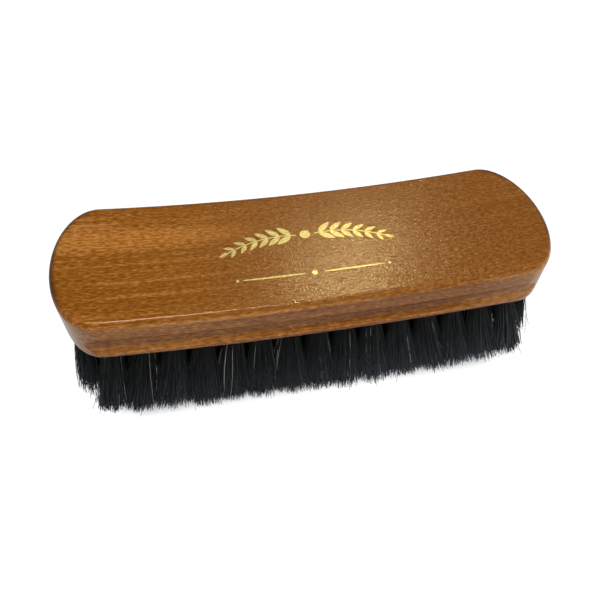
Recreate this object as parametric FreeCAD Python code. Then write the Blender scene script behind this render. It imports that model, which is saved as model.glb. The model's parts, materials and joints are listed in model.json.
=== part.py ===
import FreeCAD, Part
import math
import os

from FreeCAD import Vector

# Shoe shine brush, in millimetres: a bowed hardwood block, drilled underneath, with a tuft of
# folded horsehair in each hole and a flat metal anchor across each fold.
# +X runs along the block and +Z up. The origin lies on the surface that the brush stands on,
# under the middle of the bristles.

# Block
block_length = 170.0
block_width = 53.6
block_thickness = 17.4
end_cap_length = 14.8
top_end_rise = 4.3
underside_end_rise = 4.1
top_edge_round = 2.2
underside_edge_round = 2.2

# Finger groove along both sides: a hollow floor between two lips that roll out to the wall
groove_height = 6.6
groove_floor_radius = 3.6
groove_lip_radius = 3.4
groove_slope = 42.0
groove_edge_clearance = 0.03

# Holes, in columns across the block and rows along it
column_count = 17
row_count = 5
end_margin = 7.0
side_margin = 6.8
rim_width = 3.0
hole_diameter = 5.0
hole_depth = 9.0
drill_point_angle = 118.0

# Tufts: the outer ones lean out along the block by the fan and across it by the splay
hair_length = 28.8
tips_end_rise = 6.3
fan_angle = 14.0
splay_angle = 9.5
tuft_clearance = 0.08
tuft_gap = 0.6

# Anchors
anchor_thickness = 0.4
anchor_height = 2.0
anchor_bite = 0.6
anchor_clearance = 0.05
fold_thickness = 2.0

# How far a cut runs past what it cuts
overrun = 5.0


def bow_radius(rise):
    """Radius of an arc along the block that lifts the block's ends by this rise."""
    half_length = block_length / 2
    return (half_length**2 + rise**2) / (2 * rise)


def bow_height(x, middle, radius):
    """Height at x of an arc along the block whose lowest point has the height middle."""
    return middle + radius - math.sqrt(radius**2 - x**2)


def lean(angle, place, reach):
    """Sideways run per unit of drop for a hole at this place, where a hole at reach has the angle."""
    return math.tan(math.radians(angle * place / reach))


# Arcs of the top, the underside and the trimmed hair tips
top_middle = hair_length + block_thickness
underside_middle = hair_length
top_radius = bow_radius(top_end_rise)
underside_radius = bow_radius(underside_end_rise)
tips_radius = bow_radius(tips_end_rise)

# Pattern of holes
hole_radius = hole_diameter / 2
column_reach = block_length / 2 - end_margin
row_reach = block_width / 2 - side_margin
column_pitch = 2 * column_reach / (column_count - 1)
row_pitch = 2 * row_reach / (row_count - 1)


def spacing_at_tips(angle, pitch, reach):
    """Distance between the two outermost neighbours in a line of tufts, square to them, at their tips."""
    spread = lean(angle, reach, reach) - lean(angle, reach - pitch, reach)
    return (pitch + hair_length * spread) * math.cos(math.radians(angle))


# A tuft fills its hole and flares until it nearly meets its neighbours
root_radius = hole_radius - tuft_clearance
tuft_spacing = min(
    spacing_at_tips(fan_angle, column_pitch, column_reach),
    spacing_at_tips(splay_angle, row_pitch, row_reach),
)
tuft_tip_radius = (tuft_spacing - tuft_gap) / 2


def bow_arc(middle, radius, half_length):
    """Arc along the block, in the plane of its long section."""
    end_height = bow_height(half_length, middle, radius)
    left = Vector(-half_length, 0, end_height)
    right = Vector(half_length, 0, end_height)
    return Part.Arc(left, Vector(0, 0, middle), right)


def bowed_slab(low_arc, high_arc, width):
    """Solid between two arcs, centred across the block."""
    rims = [
        low_arc.toShape(),
        Part.makeLine(low_arc.EndPoint, high_arc.EndPoint),
        high_arc.toShape(),
        Part.makeLine(high_arc.StartPoint, low_arc.StartPoint),
    ]
    section = Part.Face(Part.Wire(Part.__sortEdges__(rims)))
    section.translate(Vector(0, -width / 2, 0))
    return section.extrude(Vector(0, width, 0))


def block_outline():
    """Plan of the block: straight parallel sides closed by half ellipses."""
    half_width = block_width / 2
    straight_half = block_length / 2 - end_cap_length
    edges = []
    for end in (1, -1):
        centre = Vector(end * straight_half, 0, 0)
        nose = Vector(end * block_length / 2, 0, 0)
        side = Vector(end * straight_half, half_width, 0)
        edges.append(Part.Ellipse(side, nose, centre).toShape(0, math.pi))
        front = Vector(-straight_half, end * half_width, 0)
        edges.append(Part.makeLine(front, Vector(straight_half, end * half_width, 0)))
    return Part.Face(Part.Wire(Part.__sortEdges__(edges)))


def blank_block():
    """The block before drilling, with its edges rounded."""
    half_length = block_length / 2 + overrun
    low_arc = bow_arc(underside_middle, underside_radius, half_length)
    high_arc = bow_arc(top_middle, top_radius, half_length)
    slab = bowed_slab(low_arc, high_arc, block_width + 2 * overrun)
    full_height = top_middle + top_end_rise + overrun
    block = block_outline().extrude(Vector(0, 0, full_height)).common(slab).Solids[0]
    top_face = max(block.Faces, key=lambda face: face.CenterOfMass.z)
    block = block.makeFillet(top_edge_round, top_face.Edges)
    underside_face = min(block.Faces, key=lambda face: face.CenterOfMass.z)
    return block.makeFillet(underside_edge_round, underside_face.Edges)


def groove_section(side):
    """Section of the groove's cutter in the block's middle plane, for the side of this sign."""
    slope = math.radians(groove_slope)
    reach = groove_lip_radius + groove_floor_radius
    half_height = reach * math.sin(slope)
    depth = reach * (1 - math.cos(slope)) - groove_edge_clearance

    def point(inward, rise):
        y = side * (block_width / 2 - inward)
        return Vector(0, y, underside_middle + groove_height + rise)

    def lip_point(angle, up):
        inward = groove_lip_radius * (1 - math.cos(angle)) - groove_edge_clearance
        return point(inward, up * (half_height - groove_lip_radius * math.sin(angle)))

    upper_edge, upper_turn = lip_point(0, 1), lip_point(slope, 1)
    lower_edge, lower_turn = lip_point(0, -1), lip_point(slope, -1)
    outer_top = point(-overrun, half_height)
    outer_bottom = point(-overrun, -half_height)
    edges = [
        Part.Arc(upper_edge, lip_point(slope / 2, 1), upper_turn).toShape(),
        Part.Arc(upper_turn, point(depth, 0), lower_turn).toShape(),
        Part.Arc(lower_turn, lip_point(slope / 2, -1), lower_edge).toShape(),
        Part.makeLine(lower_edge, outer_bottom),
        Part.makeLine(outer_bottom, outer_top),
        Part.makeLine(outer_top, upper_edge),
    ]
    return Part.Face(Part.Wire(edges))


def groove_cutter(side):
    """Cutter of one side's groove, which follows the underside's bow and runs out where the ends curve away."""
    bow_centre = Vector(0, 0, underside_middle + underside_radius)
    half_turn = math.degrees(math.asin((block_length / 2 + overrun) / underside_radius))
    section = groove_section(side)
    section.rotate(bow_centre, Vector(0, 1, 0), -half_turn)
    return section.revolve(bow_centre, Vector(0, 1, 0), 2 * half_turn)


def drilled_hole():
    """Space of one hole, with its mouth at the origin, running up into the wood."""
    bore = Part.makeCylinder(hole_radius, hole_depth + overrun, Vector(0, 0, -overrun))
    point_height = hole_radius / math.tan(math.radians(drill_point_angle / 2))
    point = Part.makeCone(hole_radius, 0, point_height, Vector(0, 0, hole_depth))
    return bore.fuse(point)


def strip_across_hole(thickness, length, height):
    """Flat strip standing across a hole, centred where the anchor sits."""
    anchor_middle = hole_depth - fold_thickness - anchor_height / 2
    corner = Vector(-thickness / 2, -length / 2, anchor_middle - height / 2)
    return Part.makeBox(thickness, length, height, corner)


def anchor():
    """Anchor in the frame of its hole, longer than the hole is wide so that its ends bite the wood."""
    return strip_across_hole(anchor_thickness, hole_diameter + 2 * anchor_bite, anchor_height)


def untrimmed_tuft():
    """Folded bundle in the frame of its hole, domed at the fold and flaring out past its tips."""
    flare = (tuft_tip_radius - root_radius) / hair_length
    cut_length = hair_length + overrun
    dome_base = hole_depth - root_radius
    half_right_angle = math.radians(45)
    dome_side = root_radius * math.sin(half_right_angle)
    dome_height = root_radius * math.cos(half_right_angle)
    crown = Vector(0, 0, hole_depth)
    shoulder = Vector(root_radius, 0, dome_base)
    mouth = Vector(root_radius, 0, 0)
    tip_edge = Vector(root_radius + flare * cut_length, 0, -cut_length)
    tip_middle = Vector(0, 0, -cut_length)
    edges = [
        Part.Arc(crown, Vector(dome_side, 0, dome_base + dome_height), shoulder).toShape(),
        Part.makeLine(shoulder, mouth),
        Part.makeLine(mouth, tip_edge),
        Part.makeLine(tip_edge, tip_middle),
        Part.makeLine(tip_middle, crown),
    ]
    bundle = Part.Face(Part.Wire(edges)).revolve(Vector(0, 0, 0), Vector(0, 0, 1), 360)
    slot = strip_across_hole(
        anchor_thickness + 2 * anchor_clearance,
        hole_diameter + overrun,
        anchor_height + 2 * anchor_clearance,
    )
    return bundle.cut(slot)


def tip_frame(frame):
    """Frame where a tuft's middle line meets the arc of the tips, its Z axis square to that arc and outward."""
    mouth = frame.Base
    down = frame.Rotation.multVec(Vector(0, 0, -1))
    start_height = mouth.z - tips_radius
    across = down.x**2 + down.z**2
    along = mouth.x * down.x + start_height * down.z
    inside = mouth.x**2 + start_height**2 - tips_radius**2
    run = (math.sqrt(along**2 - across * inside) - along) / across
    tip = mouth + down * run
    outward = Vector(tip.x, 0, tip.z - tips_radius)
    return FreeCAD.Placement(tip, FreeCAD.Rotation(Vector(0, 0, 1), outward))


def trimmed_tuft(tuft, frame):
    """A tuft set in its hole, with its tips cut flat where they reach the arc of the tips."""
    waste_width = 2 * (tuft_tip_radius + overrun)
    waste_depth = tuft_tip_radius + 2 * overrun
    corner = Vector(-waste_width / 2, -waste_width / 2, 0)
    waste = Part.makeBox(waste_width, waste_width, waste_depth, corner)
    waste = waste.transformed(tip_frame(frame).toMatrix(), True)
    return tuft.transformed(frame.toMatrix(), True).cut(waste).Solids[0]


def fits_in_outline(x, y):
    """Whether a hole at this place leaves the rim of wood between it and the block's wall."""
    margin = hole_radius + rim_width
    past_straight = max(abs(x) - (block_length / 2 - end_cap_length), 0)
    along = past_straight / (end_cap_length - margin)
    across = y / (block_width / 2 - margin)
    return along**2 + across**2 <= 1


def hole_frame(x, y):
    """Placement of a hole: its mouth on the underside, its Z axis running up into the wood."""
    mouth = Vector(x, y, bow_height(x, underside_middle, underside_radius))
    lean_along = lean(fan_angle, x, column_reach)
    lean_across = lean(splay_angle, y, row_reach)
    into_wood = Vector(-lean_along, -lean_across, 1)
    return FreeCAD.Placement(mouth, FreeCAD.Rotation(Vector(0, 0, 1), into_wood))


def hole_columns():
    """Frames of the holes, one list for each column across the block."""
    columns = []
    for column in range(column_count):
        x = column * column_pitch - column_reach
        places = [(x, row * row_pitch - row_reach) for row in range(row_count)]
        columns.append([hole_frame(*place) for place in places if fits_in_outline(*place)])
    return columns


def set_in(shape, frames):
    """Copies of a shape, one in each of these frames."""
    return [shape.transformed(frame.toMatrix(), True) for frame in frames]


columns = hole_columns()
all_frames = [frame for column in columns for frame in column]
hole_with_bite = drilled_hole().fuse(anchor())
grooved_block = blank_block().cut([groove_cutter(-1), groove_cutter(1)])
handle_block = grooved_block.cut(set_in(hole_with_bite, all_frames)).Solids[0]
tuft_blank = untrimmed_tuft()
anchor_blank = anchor()

os.makedirs("parts", exist_ok=True)
handle_block.exportStep("parts/handle_block.step")
for number, frames in enumerate(columns, start=1):
    tufts = [trimmed_tuft(tuft_blank, frame) for frame in frames]
    Part.makeCompound(tufts).exportStep(f"parts/tuft_row_{number:02d}.step")
    anchors = set_in(anchor_blank, frames)
    Part.makeCompound(anchors).exportStep(f"parts/anchor_row_{number:02d}.step")
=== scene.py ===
"""Looks of a shoe shine brush: a bowed, lacquered block of wood set with tufts of black horsehair.

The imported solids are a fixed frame. The block and the anchors keep their solids and get finishes
here. Each line of tufts is replaced by single hairs, grown by one Geometry Nodes tree. Lengths are
in metres.
"""

import json
import logging
import math
from dataclasses import dataclass, field
from enum import Enum
from typing import Any, Callable, Optional, Union

import bpy
from mathutils import Matrix, Vector
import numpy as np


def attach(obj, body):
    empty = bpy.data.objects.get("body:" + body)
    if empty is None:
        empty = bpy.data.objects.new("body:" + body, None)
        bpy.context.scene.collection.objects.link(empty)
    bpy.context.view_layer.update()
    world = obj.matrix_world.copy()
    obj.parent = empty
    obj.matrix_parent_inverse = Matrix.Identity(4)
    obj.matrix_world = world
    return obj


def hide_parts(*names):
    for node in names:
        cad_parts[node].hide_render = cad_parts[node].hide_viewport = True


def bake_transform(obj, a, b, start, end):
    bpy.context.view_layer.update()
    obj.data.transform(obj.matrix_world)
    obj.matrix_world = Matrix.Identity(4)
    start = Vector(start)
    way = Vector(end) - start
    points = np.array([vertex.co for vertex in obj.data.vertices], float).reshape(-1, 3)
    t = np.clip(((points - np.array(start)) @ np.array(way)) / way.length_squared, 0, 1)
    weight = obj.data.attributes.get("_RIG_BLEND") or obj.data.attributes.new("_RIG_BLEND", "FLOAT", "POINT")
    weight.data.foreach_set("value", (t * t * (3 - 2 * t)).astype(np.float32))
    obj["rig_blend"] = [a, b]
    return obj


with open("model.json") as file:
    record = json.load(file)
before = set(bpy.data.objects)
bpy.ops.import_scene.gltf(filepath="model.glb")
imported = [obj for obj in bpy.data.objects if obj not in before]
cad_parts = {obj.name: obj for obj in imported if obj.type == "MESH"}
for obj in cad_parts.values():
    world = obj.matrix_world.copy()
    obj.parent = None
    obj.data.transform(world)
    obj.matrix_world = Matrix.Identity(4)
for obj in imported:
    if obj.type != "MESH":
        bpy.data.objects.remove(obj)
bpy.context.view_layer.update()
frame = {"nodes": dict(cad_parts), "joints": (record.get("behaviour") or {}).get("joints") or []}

MM = 0.001
LOG = logging.getLogger("shoe_shine_brush")

Span = tuple[float, float]
Triple = tuple[float, float, float]
Colour = Triple
Number = Union["Signal", float, int]

WHITE: Colour = (1.0, 1.0, 1.0)


class Part(Enum):
    """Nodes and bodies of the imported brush, and the record's finish for its hair."""

    BLOCK = "handle_block"
    BLOCK_BODY = "block"
    TUFTS = "tuft_row_"
    ANCHORS = "anchor_row_"
    HAIR_SLOT = "horsehair"


class Random(Enum):
    """Numbers added to the seed, one for each thing about a hair that is left to chance."""

    SPOT_RADIUS = 1
    SPOT_ANGLE = 2
    CLUMP = 3
    CLUMP_RADIUS = 4
    CLUMP_ANGLE = 5
    SHORTFALL = 6
    CLUMP_SHORTFALL = 7
    BEND_ALONG = 8
    BEND_ACROSS = 9
    STRAY = 10
    THICKNESS = 11
    SHADE = 12
    PALE = 13
    CLUMP_SHADE = 14
    FLARE = 15


class Spot(Enum):
    """Where a tuft stands on the block's underside."""

    END = "in the line at either end"
    CORNER = "at the edge, next to the end"
    EDGE = "along the edge"
    INNER = "inside"


class Hidden(Enum):
    """Kinds of light that a lamp may be kept out of, as Blender names their switches."""

    GLOSSY = "visible_glossy"
    DIFFUSE = "visible_diffuse"


@dataclass(frozen=True)
class Signal:
    """One output of a node, whose operators add Math nodes, or Vector Math nodes for a vector."""

    sheet: "NodeSheet"
    output: bpy.types.NodeSocket

    @property
    def is_vector(self) -> bool:
        """Whether this output carries a vector."""
        return self.output.type == "VECTOR"

    def _pair(self, operation: str, left: Number, right: Number) -> "Signal":
        """Joins two values or two vectors.

        Args:
            operation: name of the operation, the same for Math and Vector Math.
            left: first value.
            right: second value.

        Returns:
            The result's output.
        """
        vectors = any(isinstance(side, Signal) and side.is_vector for side in (left, right))
        kind = "ShaderNodeVectorMath" if vectors else "ShaderNodeMath"
        result = self.sheet.node(kind, {"operation": operation}, {0: left, 1: right})
        return result["Vector" if vectors else "Value"]

    def __add__(self, other: Number) -> "Signal":
        """Sum."""
        return self._pair("ADD", self, other)

    def __radd__(self, other: Number) -> "Signal":
        """Sum with a number on the left."""
        return self._pair("ADD", other, self)

    def __sub__(self, other: Number) -> "Signal":
        """Difference."""
        return self._pair("SUBTRACT", self, other)

    def __rsub__(self, other: Number) -> "Signal":
        """Difference with a number on the left."""
        return self._pair("SUBTRACT", other, self)

    def __mul__(self, other: Number) -> "Signal":
        """Product, or a vector scaled by a value."""
        if self.is_vector and not (isinstance(other, Signal) and other.is_vector):
            settings, sockets = {"operation": "SCALE"}, {"Vector": self, "Scale": other}
            return self.sheet.node("ShaderNodeVectorMath", settings, sockets)["Vector"]
        return self._pair("MULTIPLY", self, other)

    def __rmul__(self, other: Number) -> "Signal":
        """Product with a number on the left."""
        return self * other

    def __truediv__(self, other: Number) -> "Signal":
        """Quotient of two values."""
        return self._pair("DIVIDE", self, other)

    def __rtruediv__(self, other: Number) -> "Signal":
        """Quotient with a number on the left."""
        return self._pair("DIVIDE", other, self)

    def __pow__(self, other: Number) -> "Signal":
        """Power of a value."""
        return self._pair("POWER", self, other)

    def __gt__(self, other: Number) -> "Signal":
        """1 where this value is the greater, otherwise 0."""
        return self._pair("GREATER_THAN", self, other)

    def above(self, floor: Number) -> "Signal":
        """The greater of this value and a floor."""
        return self._pair("MAXIMUM", self, floor)

    def whole(self) -> "Signal":
        """The whole number at or under this value."""
        return self._pair("FLOOR", self, 0.0)

    def cosine(self) -> "Signal":
        """Cosine of this angle in radians."""
        return self._pair("COSINE", self, 0.0)

    def sine(self) -> "Signal":
        """Sine of this angle in radians."""
        return self._pair("SINE", self, 0.0)

    def size(self) -> "Signal":
        """This value without its sign."""
        return (self * self) ** 0.5

    def scaled(self, gain: Span) -> "Signal":
        """This value times the first number, plus the second."""
        return self * gain[0] + gain[1]


@dataclass(frozen=True)
class Outputs:
    """Outputs of one node, found by name."""

    sheet: "NodeSheet"
    node: bpy.types.Node

    def __getitem__(self, name: str) -> Signal:
        """The enabled output of this name."""
        found = next(s for s in self.node.outputs if s.enabled and s.name == name)
        return Signal(self.sheet, found)


@dataclass(frozen=True)
class NodeSheet:
    """A node tree that is written node by node."""

    tree: bpy.types.NodeTree

    def node(
        self,
        kind: str,
        settings: Optional[dict[str, Any]] = None,
        sockets: Optional[dict[Union[str, int], Any]] = None,
    ) -> Outputs:
        """Adds a node.

        Args:
            kind: the node's type.
            settings: its properties, set first; "stops" are a colour ramp's places and colours.
            sockets: values or links of its inputs, by name or place.

        Returns:
            The new node's outputs.
        """
        made = self.tree.nodes.new(kind)
        for name, value in (settings or {}).items():
            if name == "stops":
                self._set_stops(made.color_ramp, value)
            else:
                setattr(made, name, value)
        for name, value in (sockets or {}).items():
            if isinstance(name, int):
                socket = made.inputs[name]
            else:
                socket = next(s for s in made.inputs if s.enabled and s.name == name)
            if isinstance(value, Signal):
                self.tree.links.new(value.output, socket)
            elif socket.type == "RGBA" and len(value) == 3:
                socket.default_value = (*value, 1.0)
            else:
                socket.default_value = value
        return Outputs(self, made)

    @staticmethod
    def _set_stops(ramp: bpy.types.ColorRamp, stops: list[tuple[float, Colour]]) -> None:
        """Gives a colour ramp its stops.

        Args:
            ramp: the ramp, with two stops.
            stops: places from 0 to 1 with their colours.
        """
        for place, _ in stops[2:]:
            ramp.elements.new(place)
        for element, (place, colour) in zip(ramp.elements, stops):
            element.position = place
            element.color = (*colour, 1.0)

    def parts(self, vector: Signal) -> Outputs:
        """A vector's X, Y and Z."""
        return self.node("ShaderNodeSeparateXYZ", {}, {"Vector": vector})

    def vector(self, x: Number, y: Number, z: Number) -> Signal:
        """The vector of three values."""
        return self.node("ShaderNodeCombineXYZ", {}, {"X": x, "Y": y, "Z": z})["Vector"]

    def mixed(self, share: Number, first: Any, second: Any) -> Signal:
        """Mixes two colours.

        Args:
            share: how much of the second, from 0 to 1.
            first: colour or link.
            second: colour or link.

        Returns:
            The mixed colour.
        """
        settings = {"data_type": "RGBA", "blend_type": "MIX", "clamp_factor": True}
        sockets = {"Factor": share, "A": first, "B": second}
        return self.node("ShaderNodeMix", settings, sockets)["Result"]

    def smooth(self, value: Signal, low: float, high: float) -> Signal:
        """A value eased from 0 at low to 1 at high.

        Args:
            value: what is eased.
            low: where the result leaves 0.
            high: where it reaches 1.

        Returns:
            The eased value.
        """
        settings = {"interpolation_type": "SMOOTHSTEP"}
        sockets = {"Value": value, "From Min": low, "From Max": high}
        return self.node("ShaderNodeMapRange", settings, sockets)["Result"]

    def noise(
        self, place: Signal, waves: Triple, detail: float = 2.0, rough: float = 0.5
    ) -> Signal:
        """Noise with its own number of waves in a metre along each axis.

        Args:
            place: coordinates in metres.
            waves: waves in a metre along X, Y and Z.
            detail: octaves.
            rough: weight of the finer octaves.

        Returns:
            The noise, from 0 to 1.
        """
        spot = self.node("ShaderNodeMapping", {}, {"Vector": place, "Scale": waves})["Vector"]
        sockets = {"Vector": spot, "Scale": 1.0, "Detail": detail, "Roughness": rough}
        return self.node("ShaderNodeTexNoise", {}, sockets)["Fac"]

    def swing(self, place: Signal, waves: Triple, detail: float = 2.0) -> Signal:
        """Noise about 0, from -0.5 to 0.5."""
        return self.noise(place, waves, detail) - 0.5

    def patches(self, place: Signal, waves: Triple, cut: Span, detail: float = 1.0) -> Signal:
        """Noise eased from 0 at the cut's first level to 1 at its second."""
        return self.smooth(self.noise(place, waves, detail), *cut)


class Finish:
    """A procedural material on the Principled shader."""

    name: str = "finish"

    def material(self) -> bpy.types.Material:
        """Builds the material.

        Returns:
            The new material.
        """
        made = bpy.data.materials.new(self.name)
        made.use_nodes = True
        made.node_tree.nodes.clear()
        sheet = NodeSheet(made.node_tree)
        shader = sheet.node("ShaderNodeBsdfPrincipled", {}, self.surface(sheet))["BSDF"]
        sheet.node("ShaderNodeOutputMaterial", {}, {"Surface": shader})
        return made

    def surface(self, sheet: NodeSheet) -> dict[str, Any]:
        """Values and links of the Principled shader's sockets.

        Args:
            sheet: the material's node tree.

        Returns:
            Socket names with what they get.
        """
        raise NotImplementedError


@dataclass(frozen=True)
class WoodZones:
    """Where on the block a place lies.

    Attributes:
        place: coordinates in metres.
        grain: the same, swayed, and levelled to follow the bowed top.
        depth: how far the place lies below the bowed top.
        on_top: 1 on the top, 0 on the sides.
        ripe: 0 at the left end, 1 from the middle to the right.
        faded: 1 at the right end.
        grainy: 0 where the grain is drawn out in lines, 1 where it is broken into grains.
        streak: 1 in the golden streak.
        sawn: 0 along the grain, 1 where the ends cut it squarely.
    """

    place: Signal
    grain: Signal
    depth: Signal
    on_top: Signal
    ripe: Signal
    faded: Signal
    grainy: Signal
    streak: Signal
    sawn: Signal


@dataclass(frozen=True)
class LacqueredWood(Finish):
    """Orange-brown stained close-grained hardwood, its grain along X, under a satin, pored lacquer.

    Waves are counted in a metre along X, Y and Z. A cut is where a noise begins to count and where
    it counts in full. A run is where a change starts and ends along the block or across it. A pair
    of tones is a pattern's added weight in its own kind of grain, and its weight everywhere.
    """

    name: str = "lacquered_wood"
    dark: Colour = (0.186, 0.051, 0.001)
    middle: Colour = (0.296, 0.101, 0.009)
    light: Colour = (0.535, 0.226, 0.055)
    tone_stops: Triple = (0.20, 0.50, 0.90)
    golden: Colour = (0.600, 0.235, 0.042)
    golden_share: float = 0.32
    # painted glints: pale grains that stand in for the lacquer's sparkle
    painted_glint: Colour = (0.600, 0.330, 0.130)
    painted_glint_share: float = 0.34
    # painted sheen: a pale veil over the top's right half
    sheen_veil: Colour = (0.360, 0.225, 0.150)
    sheen_veil_share: float = 0.06
    # paler sides towards the right end
    right_end_pale: Colour = (0.700, 0.400, 0.220)
    right_end_pale_share: float = 0.24
    fleck: Colour = (0.110, 0.031, 0.003)
    fleck_share: float = 0.30
    # painted shade: colour of the top's rim round the ends, away from the front
    rim_shade: Colour = (0.050, 0.020, 0.007)
    rim_shade_share: float = 0.85

    sway_waves: Triple = (12.0, 30.0, 30.0)
    band_waves: Triple = (6.0, 90.0, 90.0)
    line_waves: Triple = (22.0, 800.0, 800.0)
    pale_waves: Triple = (5.0, 640.0, 640.0)
    break_waves: Triple = (32.0, 260.0, 260.0)
    fibre_waves: Triple = (460.0, 1600.0, 1600.0)
    cloud_waves: Triple = (38.0, 120.0, 120.0)
    side_line_waves: Triple = (14.0, 430.0, 430.0)
    mottle_waves: Triple = (620.0, 1300.0, 1300.0)
    glint_waves: Triple = (1000.0, 1400.0, 1400.0)
    fleck_waves: Triple = (420.0, 1700.0, 1700.0)
    peel_waves: Triple = (1650.0, 1750.0, 1750.0)
    pale_cut: Span = (0.48, 0.70)
    break_cut: Span = (0.32, 0.58)
    side_line_cut: Span = (0.46, 0.66)
    glint_cut: Span = (0.50, 0.72)
    fleck_cut: Span = (0.60, 0.73)

    usual_tone: float = 0.485
    band_tone: float = 0.18
    cloud_tone: float = 0.16
    line_tones: Span = (0.24, 0.06)
    pale_tones: Span = (0.22, 0.02)
    fibre_tones: Span = (1.10, 0.25)
    mottle_tones: Span = (1.05, 0.25)
    streak_life: float = 1.7
    streak_lift: float = 0.14
    ripe_drop: float = 0.090
    side_lift: float = 0.055
    side_line_drop: float = 0.16
    front_left_drop: float = 0.045

    sway: float = 1.6 * MM
    top_edge: Span = (0.1 * MM, 1.2 * MM)
    ripe_run: Span = (-65.0 * MM, 5.0 * MM)
    fade_run: Span = (45.0 * MM, 82.0 * MM)
    faded_grains: float = 0.7
    front_run: Span = (-18.0 * MM, -2.0 * MM)
    left_run: Span = (-40.0 * MM, 0.0)
    streak_row: float = 9.5 * MM
    streak_edge: Span = (2.0 * MM, 6.6 * MM)
    streak_run: Span = (-55.0 * MM, -5.0 * MM)
    rim_turn: Span = (0.0, 0.35)
    rim_reach: Span = (0.83, 0.95)
    rim_depth: Span = (1.3 * MM, 2.6 * MM)
    rim_run: Span = (-20.0 * MM, -10.0 * MM)
    sawn_turn: Span = (0.3, 0.9)
    sawn_fibres: float = 0.55
    sawn_lines: float = 0.75
    sawn_mottle: float = 0.5
    sawn_flecks: float = 0.18
    pith_depth: float = 45.0 * MM
    ring_pitch: float = 2.1 * MM
    ring_tone: float = 0.06

    roughness: float = 0.155
    roughness_swing: float = 0.10
    fleck_roughness: float = 0.1
    bump_depth: float = 0.075 * MM
    peel_height: float = 0.7
    fibre_height: float = 0.3
    fleck_height: float = 0.4
    flat_edge: Span = (0.02 * MM, 0.14 * MM)
    flat_relief: Span = (0.70, 0.25)
    least_relief: float = 0.20

    def surface(self, sheet: NodeSheet) -> dict[str, Any]:
        """Grain, flecks and lacquer.

        Args:
            sheet: the material's node tree.

        Returns:
            Socket names with what they get.
        """
        zones = self._zones(sheet)
        fibres = sheet.noise(zones.grain, self.fibre_waves)
        flecks = sheet.patches(zones.grain, self.fleck_waves, self.fleck_cut)
        peel = sheet.noise(zones.place, self.peel_waves, detail=1.0)
        stain = self._stain(sheet, zones, self._tone(sheet, zones, fibres))
        fleck_share = flecks * (self.fleck_share - zones.sawn * self.sawn_flecks)
        stain = sheet.mixed(fleck_share, stain, self.fleck)
        rough = self.roughness + (peel - 0.5) * self.roughness_swing
        height = peel * self.peel_height + fibres * self.fibre_height - flecks * self.fleck_height
        flat = 1 - sheet.smooth(zones.depth, *self.flat_edge)
        relief = flat * zones.grainy.scaled(self.flat_relief) + self.least_relief
        sockets = {"Strength": 1.0, "Distance": self.bump_depth, "Height": height * relief}
        # painted shade: the rim round the ends darkens where its rounding turns from the light
        rim_shade_share = self._painted_rim_shade(sheet, zones) * self.rim_shade_share
        return {
            "Base Color": sheet.mixed(rim_shade_share, stain, self.rim_shade),
            "Roughness": rough + flecks * self.fleck_roughness,
            "Normal": sheet.node("ShaderNodeBump", {}, sockets)["Normal"],
        }

    def _zones(self, sheet: NodeSheet) -> WoodZones:
        """Finds where on the block a place lies.

        Args:
            sheet: the material's node tree.

        Returns:
            The place's zones.
        """
        form = BowedForm()
        place = sheet.node("ShaderNodeTexCoord")["Object"]
        parts = sheet.parts(place)
        level = parts["Z"] - parts["X"] * parts["X"] * form.bow(form.top_rise)
        depth = form.hair_length + form.thickness - level
        on_top = 1 - sheet.smooth(depth, *self.top_edge)
        across = parts["Y"] + sheet.swing(place, self.sway_waves, detail=1.0) * self.sway
        grain = sheet.vector(parts["X"], across, level)
        ripe = sheet.smooth(parts["X"], *self.ripe_run)
        faded = sheet.smooth(parts["X"], *self.fade_run)
        grainy = ripe * on_top * (1 - faded * self.faded_grains)
        streak = self._streak(sheet, grain)
        sawn = self._sawn_end(sheet, parts["X"]) * (1 - on_top)
        return WoodZones(place, grain, depth, on_top, ripe, faded, grainy, streak, sawn)

    def _stain(self, sheet: NodeSheet, zones: WoodZones, tone: Signal) -> Signal:
        """Colour of the stained wood and its painted sheen, without its flecks and painted rim shade.

        Args:
            sheet: the material's node tree.
            zones: where the place lies.
            tone: how light the wood is there.

        Returns:
            The colour.
        """
        stops = list(zip(self.tone_stops, (self.dark, self.middle, self.light)))
        stain = sheet.node("ShaderNodeValToRGB", {"stops": stops}, {"Fac": tone})["Color"]
        glint_spots = sheet.patches(zones.place, self.glint_waves, self.glint_cut)
        layers = [
            (zones.streak * self.golden_share, self.golden),
            # painted glints, strongest where the grain is broken into grains
            (glint_spots * zones.grainy * self.painted_glint_share, self.painted_glint),
            # painted sheen veil on the top's right half
            (zones.ripe * zones.on_top * self.sheen_veil_share, self.sheen_veil),
            # paler sides towards the right end
            (zones.faded * (1 - zones.on_top) * self.right_end_pale_share, self.right_end_pale),
        ]
        for share, colour in layers:
            stain = sheet.mixed(share, stain, colour)
        return stain

    def _painted_rim_shade(self, sheet: NodeSheet, zones: WoodZones) -> Signal:
        """How far painted shade darkens the top's rim round the ends, away from the front.

        Args:
            sheet: the material's node tree.
            zones: where the place lies.

        Returns:
            The darkness, from 0 to 1.
        """
        plan = BlockPlan()
        parts = sheet.parts(zones.place)
        outward = (parts["X"].size() - plan.straight_half).above(0.0) / plan.end_depth
        sideways = parts["Y"] / plan.half_width
        reach = (outward * outward + sideways * sideways) ** 0.5
        at_end = sheet.smooth(outward, *self.rim_turn)
        high = 1 - sheet.smooth(zones.depth, *self.rim_depth)
        behind = sheet.smooth(parts["Y"], *self.rim_run)
        return sheet.smooth(reach, *self.rim_reach) * at_end * high * behind

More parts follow.
